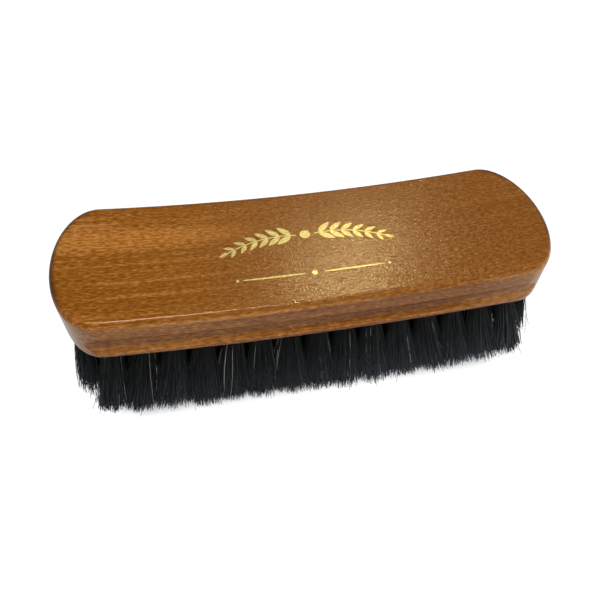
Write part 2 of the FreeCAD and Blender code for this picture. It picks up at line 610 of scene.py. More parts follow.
    def _sawn_end(self, sheet: NodeSheet, along: Signal) -> Signal:
        """How squarely the rounded ends cut the grain.

        Args:
            sheet: the material's node tree.
            along: place along the block.

        Returns:
            The share, from 0 on the straight sides to 1 at the tips of the ends.
        """
        plan = BlockPlan()
        outward = (along.size() - plan.straight_half) / plan.end_depth
        return sheet.smooth(outward, *self.sawn_turn)

    def _streak(self, sheet: NodeSheet, grain: Signal) -> Signal:
        """One golden streak towards the left end.

        Args:
            sheet: the material's node tree.
            grain: coordinates that follow the grain.

        Returns:
            How golden the wood is, from 0 to 1.
        """
        parts = sheet.parts(grain)
        off = parts["Y"] - self.streak_row
        beside = sheet.smooth(off * off, *(edge**2 for edge in self.streak_edge))
        beyond = sheet.smooth(parts["X"], *self.streak_run)
        return (1 - beside) * (1 - beyond)

    def _rings(self, sheet: NodeSheet, grain: Signal) -> Signal:
        """Growth rings round a pith below the block, which show on the ends.

        Args:
            sheet: the material's node tree.
            grain: coordinates that follow the grain.

        Returns:
            The rings, from -1 to 1.
        """
        parts = sheet.parts(grain)
        height = parts["Z"] + self.pith_depth
        ring = (parts["Y"] * parts["Y"] + height * height) ** 0.5
        return (ring * (math.tau / self.ring_pitch)).sine()

    def _tone(self, sheet: NodeSheet, zones: WoodZones, fibres: Signal) -> Signal:
        """How light the stained wood is.

        Args:
            sheet: the material's node tree.
            zones: where the place lies.
            fibres: the finest grain, from 0 to 1.

        Returns:
            The tone, from 0 for dark to 1 for light.
        """
        grain, sawn, grainy = zones.grain, zones.sawn, zones.grainy
        drawn = 1 - grainy
        bands = sheet.swing(grain, self.band_waves)
        clouds = sheet.swing(grain, self.cloud_waves)
        lines = sheet.swing(grain, self.line_waves)
        broken = sheet.patches(grain, self.break_waves, self.break_cut)
        pale = sheet.patches(grain, self.pale_waves, self.pale_cut) * broken
        lined = bands * self.band_tone + clouds * self.cloud_tone
        lined = lined + lines * drawn.scaled(self.line_tones) + pale * drawn.scaled(self.pale_tones)

        lively = (fibres - 0.5) * (zones.streak * self.streak_life + 1)
        lively = lively * (1 - sawn * self.sawn_fibres)
        mottle = sheet.swing(grain, self.mottle_waves) * grainy.scaled(self.mottle_tones)
        grained = lively * drawn.scaled(self.fibre_tones) + mottle * (1 - sawn * self.sawn_mottle)

        rings = self._rings(sheet, grain) * sawn * self.ring_tone
        tone = lined * (1 - sawn * self.sawn_lines) + grained + rings + self.usual_tone
        tone = tone + zones.streak * self.streak_lift - zones.ripe * self.ripe_drop
        side_lines = sheet.patches(grain, self.side_line_waves, self.side_line_cut, detail=2.0)
        tone = tone + (self.side_lift - side_lines * self.side_line_drop) * (1 - zones.on_top)
        parts = sheet.parts(zones.place)
        front = (1 - sheet.smooth(parts["Y"], *self.front_run)) * zones.on_top
        left = 1 - sheet.smooth(parts["X"], *self.left_run)
        return tone - front * left * self.front_left_drop


@dataclass(frozen=True)
class Horsehair(Finish):
    """Black hair that reads its shade across its UV map and its root-to-tip change along it."""

    name: str = "horsehair"
    shades: int = 32
    # painted shade: every hair turns to this near-black towards its root, under the block
    root: Colour = (0.0021, 0.0029, 0.0028)
    black: Colour = (0.0028, 0.0040, 0.0042)
    soft_black: Colour = (0.051, 0.063, 0.068)
    tip: Colour = (0.066, 0.078, 0.098)
    pale: Colour = (0.38, 0.385, 0.34)
    root_shade_run: Span = (0.0, 0.45)
    tip_run: Span = (0.4, 1.0)
    tip_shares: Span = (0.5, 0.40)
    roughness: float = 0.40
    roughness_swing: float = 0.15
    specular: float = 0.35

    def surface(self, sheet: NodeSheet) -> dict[str, Any]:
        """Shades of black with a few pale hairs.

        Args:
            sheet: the material's node tree.

        Returns:
            Socket names with what they get.
        """
        last = self.shades - 1
        parts = sheet.parts(sheet.node("ShaderNodeUVMap", {"uv_map": BristleField.UV_NAME})["UV"])
        along = parts["Y"]
        strip = (parts["X"] * float(self.shades)).whole()
        chance = strip / last
        body = sheet.mixed(chance * chance * chance, self.black, self.soft_black)
        # painted shade darkens each hair towards its root
        rooted = sheet.mixed(sheet.smooth(along, *self.root_shade_run), self.root, body)
        tip_share = sheet.smooth(along, *self.tip_run) * chance.scaled(self.tip_shares)
        tipped = sheet.mixed(tip_share, rooted, self.tip)
        return {
            "Base Color": sheet.mixed(strip > last - 0.5, tipped, self.pale),
            "Roughness": self.roughness + chance * self.roughness_swing,
            "Specular IOR Level": self.specular,
        }


@dataclass(frozen=True)
class CutWire(Finish):
    """Flat drawn wire with marks along its length."""

    name: str = "anchor_metal"
    bright: Colour = (0.62, 0.61, 0.59)
    dull: Colour = (0.40, 0.39, 0.37)
    waves: Triple = (4000.0, 300.0, 4000.0)
    roughness: float = 0.3
    roughness_swing: float = 0.25

    def surface(self, sheet: NodeSheet) -> dict[str, Any]:
        """Drawing marks in colour and roughness.

        Args:
            sheet: the material's node tree.

        Returns:
            Socket names with what they get.
        """
        place = sheet.node("ShaderNodeTexCoord")["Object"]
        marks = sheet.noise(place, self.waves, detail=3.0)
        return {
            "Base Color": sheet.mixed(marks, self.dull, self.bright),
            "Metallic": 1.0,
            "Roughness": self.roughness + marks * self.roughness_swing,
        }


@dataclass(frozen=True)
class StampedFoil(Finish):
    """Gold foil pressed onto the lacquer, thin where the pores lie."""

    name: str = "stamped_foil"
    bright: Colour = (0.92, 0.86, 0.42)
    worn: Colour = (0.62, 0.55, 0.24)
    waves: Triple = (900.0, 2400.0, 2400.0)
    wear_cut: Span = (0.42, 0.62)
    metallic: float = 0.62
    roughness: float = 0.22
    roughness_swing: float = 0.22

    def surface(self, sheet: NodeSheet) -> dict[str, Any]:
        """Foil with uneven brightness.

        Args:
            sheet: the material's node tree.

        Returns:
            Socket names with what they get.
        """
        place = sheet.node("ShaderNodeTexCoord")["Object"]
        wear = sheet.noise(place, self.waves, detail=3.0, rough=0.6)
        return {
            "Base Color": sheet.mixed(sheet.smooth(wear, *self.wear_cut), self.worn, self.bright),
            "Metallic": self.metallic,
            "Roughness": self.roughness + wear * self.roughness_swing,
        }


@dataclass(frozen=True)
class BlockPlan:
    """The block's outline from above: straight sides between half-elliptical ends."""

    half_width: float = 26.8 * MM
    straight_half: float = 70.2 * MM
    end_depth: float = 14.8 * MM


@dataclass(frozen=True)
class BowedForm:
    """The brush's arcs along its length: block top, block underside and trimmed tips."""

    length: float = 170.0 * MM
    thickness: float = 17.4 * MM
    hair_length: float = 28.8 * MM
    top_rise: float = 4.3 * MM
    underside_rise: float = 4.1 * MM
    tips_rise: float = 6.3 * MM

    def radius(self, rise: float) -> float:
        """Radius of an arc that lifts the block's ends by this rise."""
        return ((self.length / 2) ** 2 + rise**2) / (2 * rise)

    def bow(self, rise: float) -> float:
        """How much such an arc climbs, nearly, for each square of the distance from the middle."""
        return 0.5 / self.radius(rise)

    def height(self, x: float, middle: float, rise: float) -> float:
        """Height of an arc at x.

        Args:
            x: place along the block.
            middle: the arc's height at the middle.
            rise: how much higher it is at the block's ends.

        Returns:
            The height above the tips.
        """
        radius = self.radius(rise)
        return middle + radius - math.sqrt(radius**2 - x**2)

    def top(self, x: float) -> float:
        """Height of the block's top."""
        return self.height(x, self.hair_length + self.thickness, self.top_rise)

    def underside(self, x: float) -> float:
        """Height of the block's underside."""
        return self.height(x, self.hair_length, self.underside_rise)

    def drop_to_tips(self, mouth: Vector, down: Vector) -> float:
        """Distance from a hole's mouth to the arc of the tips.

        Args:
            mouth: middle of the hole's mouth.
            down: the tuft's direction.

        Returns:
            The free length of the tuft's middle line.
        """
        radius = self.radius(self.tips_rise)
        start = mouth.z - radius
        across = down.x**2 + down.z**2
        along = mouth.x * down.x + start * down.z
        inside = mouth.x**2 + start**2 - radius**2
        return (math.sqrt(along**2 - across * inside) - along) / across


@dataclass(frozen=True)
class Tuft:
    """One tuft of hair.

    Attributes:
        mouth: where it leaves the wood.
        down: where it points.
        reach: the free length of its middle line.
        spread: how wide its tips spread along and across the block, as shares of the tip radius.
        flare: how far its most bowed hairs are pulled along the block.
    """

    mouth: Vector
    down: Vector
    reach: float
    spread: Span
    flare: float


@dataclass
class BristleField:
    """Single hairs in place of each line of tufts, one piece for each line that can lean.

    A pair of shares weighs what a hair has of its own and what it takes from its clump.
    """

    UV_NAME = "OFBake"

    form: BowedForm = field(default_factory=BowedForm)
    finish: Horsehair = field(default_factory=Horsehair)
    rows_across: int = 5
    rows_at_ends: int = 3
    row_reach: float = 20.0 * MM
    column_reach: float = 78.0 * MM
    corner_reach: float = 12.0 * MM
    fan: float = math.radians(14.0)
    left_fan: float = 0.34
    right_fan: float = 0.20
    left_flare: float = -3.8 * MM
    right_flare: float = 1.0 * MM
    splay: float = math.radians(9.5)
    splays: dict[Spot, float] = field(
        default_factory=lambda: {Spot.END: 2.6, Spot.CORNER: 1.70, Spot.EDGE: 1.70, Spot.INNER: 1.0}
    )
    spreads: dict[Spot, Span] = field(
        default_factory=lambda: {
            Spot.END: (0.74, 1.30),
            Spot.CORNER: (0.86, 0.62),
            Spot.EDGE: (1.12, 0.66),
            Spot.INNER: (1.45, 1.0),
        }
    )
    pivot_share: float = 0.15
    hairs: int = 760
    joints_along: int = 5
    hair_sides: int = 3
    hair_radius: float = 0.113 * MM
    thickness: Span = (0.4, 0.8)
    taper: float = 0.3
    root_radius: float = 2.35 * MM
    tip_radius: float = 8.2 * MM
    middle_radii: Span = (0.60, 0.41)
    sink: float = 1.5 * MM
    shortfall: float = 2.8 * MM
    short_shares: Span = (0.60, 0.40)
    bend: float = 2.0 * MM
    clumps: int = 16
    clump_numbers: float = 100.0
    gather: float = 0.40
    stray_share: float = 0.05
    stray_reach: float = 0.35
    stray_bend: float = 2.0
    pale_share: float = 0.012
    pale_bend: float = 1.2
    pale_thinner: float = 0.20
    shade_shares: Span = (0.55, 0.45)
    uv_across: Span = (1.2, 0.1)
    uv_along: Span = (0.96, 0.02)
    seed: int = 4107
    seed_step: int = 50

    def build(self) -> list[bpy.types.Object]:
        """Grows the hair of every line and joins it to its body.

        Returns:
            The hair pieces.
        """
        tree = self._tree()
        material = self.finish.material()
        joints = sorted(frame["joints"], key=lambda joint: joint["name"])
        return [self._line(tree, material, joint) for joint in joints]

    def _line(
        self, tree: bpy.types.NodeTree, material: bpy.types.Material, joint: dict[str, Any]
    ) -> bpy.types.Object:
        """Grows one line of tufts.

        Args:
            tree: the hair's node tree.
            material: the hair's finish.
            joint: the hinge that the line leans on.

        Returns:
            The line's piece.
        """
        number = joint["child"].split("_")[-1]
        x = joint["pos_m"][0]
        piece = bpy.data.objects.new(f"horsehair_{number}", self._roots(self._tufts(x)))
        bpy.context.scene.collection.objects.link(piece)
        inputs = {"Seed": self.seed + self.seed_step * int(number), "Material": material}
        plain_mesh(piece, tree, inputs, keep=[self.UV_NAME])
        mouth = Vector((x, 0.0, self.form.underside(x)))
        ramp = Vector((0.0, 0.0, 2 * self.pivot_share * self.form.hair_length))
        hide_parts(Part.TUFTS.value + number)
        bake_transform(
            piece, Part.BLOCK_BODY.value, joint["child"],
            start=tuple(mouth), end=tuple(mouth - ramp),
        )
        return piece

    def _spot(self, x: float, at_edge: bool) -> Spot:
        """Where a tuft stands.

        Args:
            x: its place along the block.
            at_edge: whether it is the first or the last of its line.

        Returns:
            The kind of place.
        """
        from_end = self.column_reach - abs(x)
        if from_end < MM:
            return Spot.END
        if not at_edge:
            return Spot.INNER
        return Spot.CORNER if from_end < self.corner_reach else Spot.EDGE

    def _tufts(self, x: float) -> list[Tuft]:
        """Tufts of the line at x.

        Args:
            x: place along the block.

        Returns:
            The tufts, from front to back.
        """
        rows, fan, flare = self.rows_across, 1.0, 0.0
        if self._spot(x, at_edge=True) is Spot.END:
            rows = self.rows_at_ends
            fan = self.left_fan if x < 0 else self.right_fan
            flare = self.left_flare if x < 0 else self.right_flare
        pitch = 2 * self.row_reach / (self.rows_across - 1)
        lean_along = math.tan(self.fan * x / self.column_reach * fan)
        tufts = []
        for row in range(rows):
            y = (row - (rows - 1) / 2) * pitch
            spot = self._spot(x, at_edge=row in (0, rows - 1))
            lean_across = math.tan(self.splay * y / self.row_reach) * self.splays[spot]
            mouth = Vector((x, y, self.form.underside(x)))
            down = Vector((lean_along, lean_across, -1.0)).normalized()
            reach = self.form.drop_to_tips(mouth, down)
            tufts.append(Tuft(mouth, down, reach, self.spreads[spot], flare))
        return tufts

    def _roots(self, tufts: list[Tuft]) -> bpy.types.Mesh:
        """Mesh of one point for each tuft, with the tuft's values on it.

        Args:
            tufts: the tufts of a line.

        Returns:
            The mesh that the tree grows hair on.
        """
        mesh = bpy.data.meshes.new("tuft_mouths")
        mesh.from_pydata([tuft.mouth for tuft in tufts], [], [])
        vectors = {
            "tip_middle": [tuft.mouth + tuft.down * tuft.reach for tuft in tufts],
            "down": [tuft.down for tuft in tufts],
            "spread": [(*tuft.spread, 1.0) for tuft in tufts],
        }
        values = {"flare": [tuft.flare for tuft in tufts], "tuft": list(range(len(tufts)))}
        for name, rows in vectors.items():
            numbers = [number for row in rows for number in row]
            mesh.attributes.new(name, "FLOAT_VECTOR", "POINT").data.foreach_set("vector", numbers)
        for name, numbers in values.items():
            mesh.attributes.new(name, "FLOAT", "POINT").data.foreach_set("value", numbers)
        return mesh

    def _tree(self) -> bpy.types.NodeTree:
        """The tree that turns each tuft's point into tapered hairs.

        Returns:
            The node tree, with named inputs.
        """
        sheet = NodeSheet(bpy.data.node_groups.new("bristle_line", "GeometryNodeTree"))
        given = tree_inputs(
            sheet,
            {
                "Geometry": "NodeSocketGeometry",
                "Hairs": self.hairs,
                "Points Along": self.joints_along,
                "Root Radius": self.root_radius,
                "Tip Radius": self.tip_radius,
                "Hair Radius": self.hair_radius,
                "Sink": self.sink,
                "Shortfall": self.shortfall,
                "Bend": self.bend,
                "Clumps": self.clumps,
                "Gather": self.gather,
                "Stray Share": self.stray_share,
                "Pale Share": self.pale_share,
                "Tips Bow": self.form.bow(self.form.tips_rise),
                "Seed": self.seed,
                "Material": "NodeSocketMaterial",
            },
        )
        sockets = {"Geometry": given["Geometry"], "Amount": given["Hairs"]}
        copies = sheet.node("GeometryNodeDuplicateElements", {"domain": "POINT"}, sockets)
        planned = self._planned_hairs(sheet, given, copies["Geometry"])
        strands = self._strands(sheet, given, planned)
        solid = sheet.node("GeometryNodeRealizeInstances", {}, {"Geometry": strands})["Geometry"]
        sockets = {"Geometry": solid, "Material": given["Material"]}
        grown = sheet.node("GeometryNodeSetMaterial", {}, sockets)["Geometry"]
        sheet.node("NodeGroupOutput", {}, {"Geometry": grown})
        return sheet.tree

    def _planned_hairs(self, sheet: NodeSheet, given: Outputs, points: Signal) -> Signal:
        """Gives every hair its root, its middle, its tip, its thickness and its shade.

        Args:
            sheet: the hair's tree.
            given: the tree's inputs.
            points: one point for each hair.

        Returns:
            The points with these attributes.
        """
        index = sheet.node("GeometryNodeInputIndex")["Index"]
        mouth = sheet.node("GeometryNodeInputPosition")["Position"]
        tip_middle = named(sheet, "tip_middle", "FLOAT_VECTOR")
        down = named(sheet, "down", "FLOAT_VECTOR")
        spread = named(sheet, "spread", "FLOAT_VECTOR")

        def chance(what: Random, number: Signal = index) -> Signal:
            """A number from 0 to 1 that belongs to a hair or a clump."""
            sockets = {"Min": 0.0, "Max": 1.0, "ID": number, "Seed": given["Seed"] + what.value}
            return sheet.node("FunctionNodeRandomValue", {"data_type": "FLOAT"}, sockets)["Value"]

        def in_disc(radius: Signal, turn: Signal) -> Signal:
            """A level vector inside a disc of radius 1."""
            angle, reach = turn * math.tau, radius**0.5
            return sheet.vector(angle.cosine() * reach, angle.sine() * reach, 0.0)

        def weighed(shares: Span, own: Signal, from_clump: Signal) -> Signal:
            """What a hair has of its own and what it takes from its clump."""
            return own * shares[0] + from_clump * shares[1]

        first_clump = named(sheet, "tuft", "FLOAT") * self.clump_numbers
        clump = first_clump + (chance(Random.CLUMP) * given["Clumps"]).whole()
        stray = given["Stray Share"] > chance(Random.STRAY)
        pale = given["Pale Share"] > chance(Random.PALE)
        spot = in_disc(chance(Random.SPOT_RADIUS), chance(Random.SPOT_ANGLE))
        clump_spot = in_disc(chance(Random.CLUMP_RADIUS, clump), chance(Random.CLUMP_ANGLE, clump))
        root = mouth + spot * given["Root Radius"] - down * given["Sink"]

        tip_spot = spot * (1 - given["Gather"]) + clump_spot * given["Gather"]
        off = tip_spot * spread * (given["Tip Radius"] * (1 + stray * self.stray_reach))
        level_tip = sheet.parts(tip_middle + off)
        own_short = chance(Random.SHORTFALL) ** 0.5
        short = weighed(self.short_shares, own_short, chance(Random.CLUMP_SHORTFALL, clump))
        trimmed = level_tip["X"] * level_tip["X"] * given["Tips Bow"]
        tip_height = trimmed + short * given["Shortfall"] + given["Hair Radius"]
        tip = sheet.vector(level_tip["X"], level_tip["Y"], tip_height)

        along, across = chance(Random.BEND_ALONG) - 0.5, chance(Random.BEND_ACROSS) - 0.5
        bow = sheet.vector(along, across, 0.0) * (given["Bend"] * (1 + stray * self.stray_bend))
        pull = named(sheet, "flare", "FLOAT") * (chance(Random.FLARE) ** 2)
        root_share, tip_share = self.middle_radii
        mid_radius = given["Root Radius"] * root_share + given["Tip Radius"] * tip_share
        middle = (mouth + tip_middle) * 0.5 + spot * spread * mid_radius
        middle = middle + bow * (1 + pale * self.pale_bend) + sheet.vector(pull, 0.0, 0.0)

        last = float(self.finish.shades - 1)
        own_shade = chance(Random.SHADE)
        lightness = weighed(self.shade_shares, own_shade, chance(Random.CLUMP_SHADE, clump))
        shade = (lightness * last).whole() * (1 - pale) + pale * last
        thick = chance(Random.THICKNESS).scaled(self.thickness) - pale * self.pale_thinner
        kept: list[tuple[str, str, Signal]] = [
            ("root", "FLOAT_VECTOR", root),
            ("middle", "FLOAT_VECTOR", middle),
            ("tip", "FLOAT_VECTOR", tip),
            ("thick", "FLOAT", given["Hair Radius"] * thick),
            ("shade", "FLOAT", shade),
        ]
        for name, kind, value in kept:
            points = stored(sheet, points, name, kind, "POINT", value)
        return points

    def _strands(self, sheet: NodeSheet, given: Outputs, points: Signal) -> Signal:
        """Draws each planned hair as a thin strand with its shade in its UV map.

        Args:
            sheet: the hair's tree.
            given: the tree's inputs.
            points: one planned point for each hair.

        Returns:
            The hair mesh.
        """
        line = sheet.node("GeometryNodeCurvePrimitiveLine")["Curve"]
        sockets = {"Curve": line, "Count": given["Points Along"]}
        thread = sheet.node("GeometryNodeResampleCurve", {}, sockets)["Curve"]
        sockets = {"Points": points, "Instance": thread}
        threads = sheet.node("GeometryNodeInstanceOnPoints", {}, sockets)["Instances"]
        curves = sheet.node("GeometryNodeRealizeInstances", {}, {"Geometry": threads})["Geometry"]
        along = sheet.node("GeometryNodeSplineParameter")["Factor"]
        back = 1 - along
        root = named(sheet, "root", "FLOAT_VECTOR") * (back * back)
        middle = named(sheet, "middle", "FLOAT_VECTOR") * (2 * along * back)
        tip = named(sheet, "tip", "FLOAT_VECTOR") * (along * along)
        sockets = {"Geometry": curves, "Position": root + middle + tip}
        curves = sheet.node("GeometryNodeSetPosition", {}, sockets)["Geometry"]
        curves = stored(sheet, curves, "along", "FLOAT", "POINT", along)

        sockets = {"Resolution": self.hair_sides, "Radius": 1.0}
        ring = sheet.node("GeometryNodeCurvePrimitiveCircle", {}, sockets)["Curve"]
        turn = sheet.node("GeometryNodeSplineParameter")["Factor"]
        ring = stored(sheet, ring, "turn", "FLOAT", "POINT", turn)
        width = named(sheet, "thick", "FLOAT") * (1 - along * along * along * self.taper)
        sockets = {"Curve": curves, "Profile Curve": ring, "Scale": width, "Fill Caps": True}
        mesh = sheet.node("GeometryNodeCurveToMesh", {}, sockets)["Mesh"]
        across = named(sheet, "turn", "FLOAT").scaled(self.uv_across)
        strip = (named(sheet, "shade", "FLOAT") + across) / self.finish.shades
        uv = sheet.vector(strip, named(sheet, "along", "FLOAT").scaled(self.uv_along), 0.0)
        mesh = stored(sheet, mesh, self.UV_NAME, "FLOAT2", "CORNER", uv)
        return sheet.node("GeometryNodeSetShadeSmooth", {}, {"Geometry": mesh})["Geometry"]


def named(sheet: NodeSheet, name: str, kind: str) -> Signal:
    """Reads an attribute.

    Args:
        sheet: the tree.
        name: the attribute's name.
        kind: its data type.

    Returns:
        The attribute's value.
    """
    settings, sockets = {"data_type": kind}, {"Name": name}
    return sheet.node("GeometryNodeInputNamedAttribute", settings, sockets)["Attribute"]


def stored(
    sheet: NodeSheet, geometry: Signal, name: str, kind: str, domain: str, value: Signal
) -> Signal:
    """Writes an attribute.

    Args:
        sheet: the tree.
        geometry: what gets the attribute.
        name: the attribute's name.
        kind: its data type.
        domain: what carries it, such as POINT or CORNER.
        value: what is written.

    Returns:
        The geometry with the attribute.
    """
    settings = {"data_type": kind, "domain": domain}
    sockets = {"Geometry": geometry, "Name": name, "Value": value}
    return sheet.node("GeometryNodeStoreNamedAttribute", settings, sockets)["Geometry"]


def tree_inputs(sheet: NodeSheet, inputs: dict[str, Union[int, float, str]]) -> Outputs:
    """Gives a geometry tree its named inputs and its one output.

    Args:
        sheet: the tree.
        inputs: names with their usual values, or with a socket type where there is none.

    Returns:
        The inputs as a node's outputs.
    """
    kinds = {int: "NodeSocketInt", float: "NodeSocketFloat"}
    face = sheet.tree.interface
    for name, usual in inputs.items():
        kind = kinds.get(type(usual), usual)
        socket = face.new_socket(name=name, in_out="INPUT", socket_type=kind)
        if type(usual) in kinds:
            socket.default_value = usual
    face.new_socket(name="Geometry", in_out="OUTPUT", socket_type="NodeSocketGeometry")
    return sheet.node("NodeGroupInput")


def plain_mesh(
    piece: bpy.types.Object, tree: bpy.types.NodeTree, inputs: dict[str, Any], keep: list[str]
) -> None:
    """Runs a geometry tree on a piece and keeps the result as its mesh.

    Args:
        piece: the object, whose mesh the tree reads and then replaces.
        tree: the geometry tree.
        inputs: names of the tree's inputs with this piece's values.
        keep: attributes that stay on the mesh.
    """
    modifier = piece.modifiers.new("grown", "NODES")
    modifier.node_group = tree
    for item in tree.interface.items_tree:
        if item.in_out == "INPUT" and item.name in inputs:
            modifier[item.identifier] = inputs[item.name]
    graph = bpy.context.evaluated_depsgraph_get()
    grown = piece.evaluated_get(graph)
    mesh = bpy.data.meshes.new_from_object(grown, preserve_all_data_layers=True, depsgraph=graph)
    piece.modifiers.clear()
    piece.data = mesh
    mesh.name = piece.name
    own = {"position", "sharp_face", "sharp_edge", "material_index", *keep}
    for name in [a.name for a in mesh.attributes if a.name not in own]:
        if not name.startswith("."):
            mesh.attributes.remove(mesh.attributes[name])


def dressed(node: str, material: bpy.types.Material) -> bpy.types.Object:
    """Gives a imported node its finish.

    Args:
        node: the node's name.
        material: its finish.

    Returns:
        The node's object.
    """
    piece = frame["nodes"][node]
    piece.data.materials.clear()
    piece.data.materials.append(material)
    return piece


@dataclass
class HandleBlock:
    """The wooden block, which keeps its solid and its holes."""

    finish: LacqueredWood = field(default_factory=LacqueredWood)

    def build(self) -> bpy.types.Object:
        """Dresses the block and returns its node."""
        return dressed(Part.BLOCK.value, self.finish.material())


@dataclass
class Anchors:
    """The flat wires that hold the tufts' folds in their holes."""

    finish: CutWire = field(default_factory=CutWire)

    def build(self) -> list[bpy.types.Object]:
        """Dresses every line of anchors.

        Returns:
            The anchors' nodes.
        """
        material = self.finish.material()
        lines = [name for name in sorted(frame["nodes"]) if name.startswith(Part.ANCHORS.value)]
        return [dressed(name, material) for name in lines]


@dataclass
class FoilOrnament:
    """Two leafy sprigs that meet at a bead, over a thin rule, in foil on the block's top."""

    form: BowedForm = field(default_factory=BowedForm)
    finish: StampedFoil = field(default_factory=StampedFoil)
    proud: float = 0.03 * MM
    sunk: float = 0.03 * MM
    step: float = 0.35 * MM
    least_steps: int = 8
    least_half: float = 0.01 * MM
    sprig_row: float = 4.5 * MM
    sprig_start: float = 3.2 * MM
    sprig_length: float = 24.0 * MM
    sprig_droop: float = 8.4 * MM
    sprig_crest: float = 0.4
    sprig_bead: float = 1.9 * MM
    stem_runs: int = 12
    stem_half: float = 0.24 * MM
    leaf_pairs: int = 6
    first_leaf: float = 0.35
    leaf_length: float = 6.4 * MM
    leaf_half: float = 1.15 * MM
    leaf_turn: float = math.radians(38.0)
    leaf_gap: float = 0.5 * MM
    leaf_shrink: float = 0.45
    leaf_powers: Span = (0.8, 0.9)
    end_leaf: float = 0.6
    rule_row: float = -13.5 * MM
    rule_start: float = 3.0 * MM
    rule_end: float = 24.0 * MM
    rule_half: float = 0.32 * MM
    rule_power: float = 0.35
    rule_bead: float = 1.05 * MM
    end_bead: float = 0.55 * MM
    end_bead_gap: float = 1.6 * MM

    def build(self) -> bpy.types.Object:
        """Builds the ornament on the block's curve.

        Returns:
            The ornament's piece.
        """
        self._points: list[Vector] = []
        self._faces: list[tuple[int, ...]] = []
        for side in (-1.0, 1.0):
            self._sprig(side)
            self._rule(side)
            self._bead(side * (self.rule_end + self.end_bead_gap), self.rule_row, self.end_bead)
        self._bead(0.0, self.sprig_row, self.sprig_bead)
        self._bead(0.0, self.rule_row, self.rule_bead)
        mesh = bpy.data.meshes.new("foil_ornament")
        mesh.from_pydata(self._points, [], self._faces)
        mesh.validate()
        piece = bpy.data.objects.new("foil_ornament", mesh)
        bpy.context.scene.collection.objects.link(piece)
        piece.data.materials.append(self.finish.material())
        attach(piece, Part.BLOCK_BODY.value)
        return piece

    def _stem(self, side: float, share: float) -> Vector:
        """A point of a sprig's stem.

        Args:
            side: -1 for the left sprig, 1 for the right.
            share: how far along the stem, from 0 to 1.

        Returns:
            The point on the top's plan.
        """
        x = side * (self.sprig_start + self.sprig_length * share)
        return Vector((x, self.sprig_row + self.sprig_droop * (self.sprig_crest - share) * share))

    def _sprig(self, side: float) -> None:
        """Lays one stem with its pairs of leaves and the leaf at its end.

        Args:
            side: -1 for the left sprig, 1 for the right.
        """
        glance = 0.05
        for run in range(self.stem_runs):
            start = self._stem(side, run / self.stem_runs)
            end = self._stem(side, (run + 1) / self.stem_runs)
            self._patch(start, end, lambda share: self.stem_half)
        for pair in range(self.leaf_pairs):
            share = (pair + self.first_leaf) / self.leaf_pairs
            size = 1.0 - self.leaf_shrink * share
            foot = self._stem(side, share)
            way = (self._stem(side, share + glance) - foot).normalized()
            for turn in (-self.leaf_turn, self.leaf_turn):
                heading = Vector((
                    way.x * math.cos(turn) - way.y * math.sin(turn),
                    way.x * math.sin(turn) + way.y * math.cos(turn),
                ))
                self._leaf(foot + heading * self.leaf_gap, heading, size)
        tip = self._stem(side, 1.0)
        self._leaf(tip, (tip - self._stem(side, 1.0 - glance)).normalized(), self.end_leaf)

    def _leaf(self, foot: Vector, heading: Vector, size: float) -> None:
        """Lays a pointed leaf.

        Args:
            foot: where it leaves the stem.
            heading: its direction.
            size: its share of the full leaf.
        """
        half = self.leaf_half * size
        along, across = self.leaf_powers
        end = foot + heading * self.leaf_length * size
        self._patch(foot, end, lambda share: half * math.sin(math.pi * share**along) ** across)

    def _rule(self, side: float) -> None:
        """Lays one half of the rule, which thins towards both ends.

        Args:
            side: -1 for the left half, 1 for the right.
        """
        start = Vector((side * self.rule_start, self.rule_row))
        end = Vector((side * self.rule_end, self.rule_row))

        def half(share: float) -> float:
            """Half the rule's thickness."""
            return self.rule_half * max(0.0, 4 * share * (1 - share)) ** self.rule_power

        self._patch(start, end, half)

    def _bead(self, x: float, y: float, radius: float) -> None:
        """Lays a round bead.

        Args:
            x: its middle along the block.
            y: its middle across the block.
            radius: its radius.
        """
        reach = Vector((radius, 0.0))
        middle = Vector((x, y))

        def half(share: float) -> float:
            """Half the bead's height."""
            return radius * math.sqrt(max(0.0, 1 - (2 * share - 1) ** 2))

        self._patch(middle - reach, middle + reach, half)

    def _patch(self, start: Vector, end: Vector, half: Callable[[float], float]) -> None:
        """Adds a thin closed patch that follows the top's curve.

        Args:
            start: one end of its middle line, on the top's plan.
            end: the other end.
            half: half its width at each share of the line.
        """
        run = end - start
        across = Vector((-run.y, run.x)).normalized()
        count = max(self.least_steps, math.ceil(run.length / self.step))
        first = len(self._points)
        corners = ((1, self.proud), (-1, self.proud), (-1, -self.sunk), (1, -self.sunk))
        for index in range(count + 1):
            share = index / count
            middle = start + run * share
            width = across * max(half(share), self.least_half)
            for side, lift in corners:
                spot = middle + width * side
                self._points.append(Vector((spot.x, spot.y, self.form.top(spot.x) + lift)))
        for index in range(count):
            a = first + 4 * index
            for k in range(4):
                self._faces.append((a + k, a + (k + 1) % 4, a + 4 + (k + 1) % 4, a + 4 + k))
        last = first + 4 * count
        self._faces.append((first + 3, first + 2, first + 1, first))
        self._faces.append((last, last + 1, last + 2, last + 3))


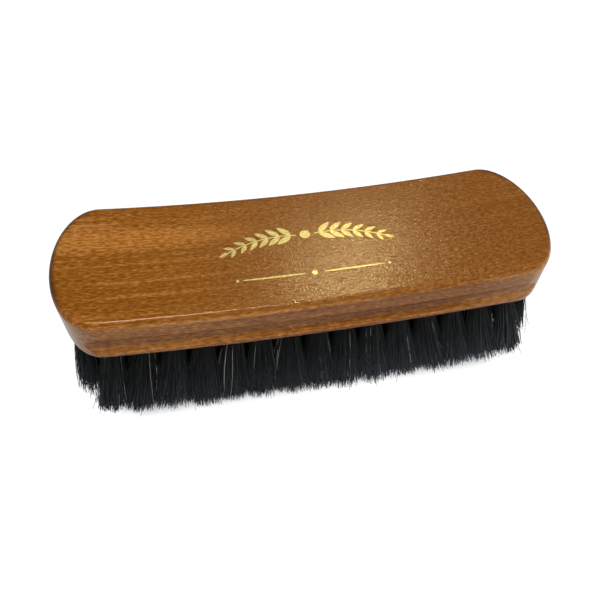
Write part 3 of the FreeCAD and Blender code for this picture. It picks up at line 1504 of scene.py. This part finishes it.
@dataclass(frozen=True)
class Lamp:
    """A soft rectangular lamp that points at the brush.

    Attributes:
        name: the lamp's name.
        way: direction from the brush to the lamp.
        distance: how far away it hangs.
        size: its two sides.
        power: its watts.
        colour: its light's colour.
        hidden: the kind of light that it is kept out of.
    """

    name: str
    way: Triple
    distance: float
    size: Span
    power: float
    colour: Colour = WHITE
    hidden: Optional[Hidden] = None

    def hang(self, aim: Vector) -> None:
        """Hangs the lamp.

        Args:
            aim: what it points at.
        """
        data = bpy.data.lights.new(self.name, "AREA")
        data.shape = "RECTANGLE"
        data.size, data.size_y = self.size
        data.energy = self.power
        data.color = self.colour
        lamp = bpy.data.objects.new(self.name, data)
        back = Vector(self.way).normalized()
        lamp.location = aim + back * self.distance
        lamp.rotation_mode = "QUATERNION"
        lamp.rotation_quaternion = (-back).to_track_quat("-Z", "Y")
        if self.hidden:
            setattr(lamp, self.hidden.value, False)
        bpy.context.scene.collection.objects.link(lamp)


@dataclass
class Studio:
    """Camera, lamps, floor and surroundings."""

    eye: Vector = field(default_factory=lambda: Vector((-31.476, -139.792, 192.913)) * MM)
    target: Vector = field(default_factory=lambda: Vector((-4.118, -10.504, 28.8)) * MM)
    roll: float = math.radians(1.921)
    lens: float = 35.555
    sensor: float = 36.0
    clip: Span = (0.005, 50.0)
    lamp_aim: Vector = field(default_factory=lambda: Vector((0.0, 0.0, 0.03)))
    lamps: tuple[Lamp, ...] = (
        Lamp("top_lamp", (-0.20, -0.30, 1.0), 1.0, (0.22, 0.22), 6.35, hidden=Hidden.GLOSSY),
        Lamp(
            "edge_lamp", (-0.02, 0.15, 0.95), 1.1, (0.50, 0.04), 6.0,
            (1.0, 0.80, 0.54), Hidden.DIFFUSE,
        ),
        Lamp("sheen_lamp", (0.205, 0.600, 0.770), 0.85, (0.060, 0.060), 0.52, (1.0, 0.79, 0.36)),
        Lamp("end_fill", (1.0, -0.25, 0.35), 0.9, (0.60, 0.60), 4.0, hidden=Hidden.GLOSSY),
    )
    floor_half: float = 6.0
    floor_pale: Colour = (0.66, 0.66, 0.66)
    floor_dark: Colour = (0.12, 0.12, 0.12)
    floor_lift: float = 0.80
    floor_glow: float = 1.24
    far_way: Span = (0.6, 0.8)
    far_run: Span = (0.07, 0.17)
    foot_half: Span = (59.0 * MM, 9.5 * MM)
    foot_edge: Span = (14.0 * MM, 25.0 * MM)
    foot_shade: Colour = (0.16, 0.20, 0.27)
    foot_lift: float = 0.05
    gleam_run: Span = (85.0 * MM, 105.0 * MM)
    gleam: float = 0.24
    sky_high: float = 0.07
    sky_front: float = 0.42
    sky_back: float = 0.25
    sky_turn: Span = (-0.5, 0.4)
    sky_climb: Span = (0.05, 0.65)
    sky_warm: Colour = (1.0, 0.90, 0.74)

    def build(self) -> None:
        """Sets up everything round the brush."""
        bpy.context.scene.view_settings.view_transform = "Standard"
        self._camera()
        self._floor()
        self._sky()
        for lamp in self.lamps:
            lamp.hang(self.lamp_aim)

    def _camera(self) -> None:
        """Places the camera where the photograph was taken from."""
        back = (self.eye - self.target).normalized()
        level = (-back).cross(Vector((0.0, 0.0, 1.0))).normalized()
        upright = level.cross(-back)
        right = level * math.cos(self.roll) + upright * math.sin(self.roll)
        up = upright * math.cos(self.roll) - level * math.sin(self.roll)
        data = bpy.data.cameras.new("camera")
        data.sensor_fit = "HORIZONTAL"
        data.sensor_width = self.sensor
        data.lens = self.lens
        data.clip_start, data.clip_end = self.clip
        camera = bpy.data.objects.new("camera", data)
        turn = Matrix((right, up, back)).transposed().to_4x4()
        camera.matrix_world = Matrix.Translation(self.eye) @ turn
        bpy.context.scene.collection.objects.link(camera)
        bpy.context.scene.camera = camera

    def _floor(self) -> None:
        """Lays a floor, seen white except for a painted shadow under the brush, and dark behind it on the
        left.
        """
        half = self.floor_half
        mesh = bpy.data.meshes.new("floor")
        corners = [(-half, -half, 0), (half, -half, 0), (half, half, 0), (-half, half, 0)]
        mesh.from_pydata(corners, [], [(0, 1, 2, 3)])
        piece = bpy.data.objects.new("floor", mesh)
        material = bpy.data.materials.new("floor")
        material.use_nodes = True
        material.node_tree.nodes.clear()
        self._floor_paint(NodeSheet(material.node_tree))
        mesh.materials.append(material)
        bpy.context.scene.collection.objects.link(piece)

    def _floor_paint(self, sheet: NodeSheet) -> None:
        """Writes the floor's material, with a soft painted shadow where the hair stands.

        Args:
            sheet: the material's empty node tree.
        """
        rays = sheet.node("ShaderNodeLightPath")
        seen = rays["Is Camera Ray"].above(rays["Is Transmission Ray"])
        parts = sheet.parts(sheet.node("ShaderNodeTexCoord")["Object"])
        from_middle = parts["X"].size()
        left, rear = self.far_way
        far = sheet.smooth(parts["Y"] * rear - parts["X"] * left, *self.far_run)
        paint = sheet.mixed(far, self.floor_pale, self.floor_dark)
        beyond = (from_middle - self.foot_half[0]).above(0.0)
        beside = (parts["Y"].size() - self.foot_half[1]).above(0.0)
        away = (beyond * beyond + beside * beside) ** 0.5
        clear = sheet.smooth(away, *self.foot_edge)
        # painted shadow: blue-grey floor where the hair stands, with its white glow faded out there
        paint = sheet.mixed(1 - clear, paint, self.foot_shade)
        matte = sheet.node("ShaderNodeBsdfDiffuse", {}, {"Color": paint})["BSDF"]
        sockets = {"Color": WHITE, "Strength": self.floor_glow}
        glow = sheet.node("ShaderNodeEmission", {}, sockets)["Emission"]
        lift = clear.scaled((self.floor_lift - self.foot_lift, self.foot_lift))
        gleam = sheet.smooth(from_middle, *self.gleam_run) * self.gleam
        share = (seen * lift).above(rays["Is Glossy Ray"] * gleam)
        mix = sheet.node("ShaderNodeMixShader", {}, {0: share, 1: matte, 2: glow})["Shader"]
        sheet.node("ShaderNodeOutputMaterial", {}, {"Surface": mix})

    def _sky(self) -> None:
        """Surrounds the brush with a horizon that is paler in front, under a dim ceiling."""
        world = bpy.data.worlds.new("studio")
        bpy.context.scene.world = world
        world.use_nodes = True
        world.node_tree.nodes.clear()
        sheet = NodeSheet(world.node_tree)
        parts = sheet.parts(sheet.node("ShaderNodeTexCoord")["Generated"])
        behind = sheet.smooth(parts["Y"], *self.sky_turn)
        low = self.sky_front + (self.sky_back - self.sky_front) * behind
        dim = sheet.smooth(parts["Z"], *self.sky_climb)
        level = low + (self.sky_high - low) * dim
        rays = sheet.node("ShaderNodeLightPath")
        seen = rays["Is Camera Ray"]
        tint = sheet.mixed(rays["Is Glossy Ray"], WHITE, self.sky_warm)
        sockets = {"Color": tint, "Strength": level * (1 - seen) + seen}
        glow = sheet.node("ShaderNodeBackground", {}, sockets)["Background"]
        sheet.node("ShaderNodeOutputWorld", {}, {"Surface": glow})


def main() -> None:
    """Builds the brush and its studio, and reports each piece."""
    logging.basicConfig(level=logging.INFO, format="%(name)s: %(message)s")
    Studio().build()
    block, anchors = HandleBlock().build(), Anchors().build()
    hair, ornament = BristleField().build(), FoilOrnament().build()
    for piece in [block, *anchors, *hair, ornament]:
        LOG.info("%s: %d faces", piece.name, len(piece.data.polygons))


if __name__ == "__main__":
    main()
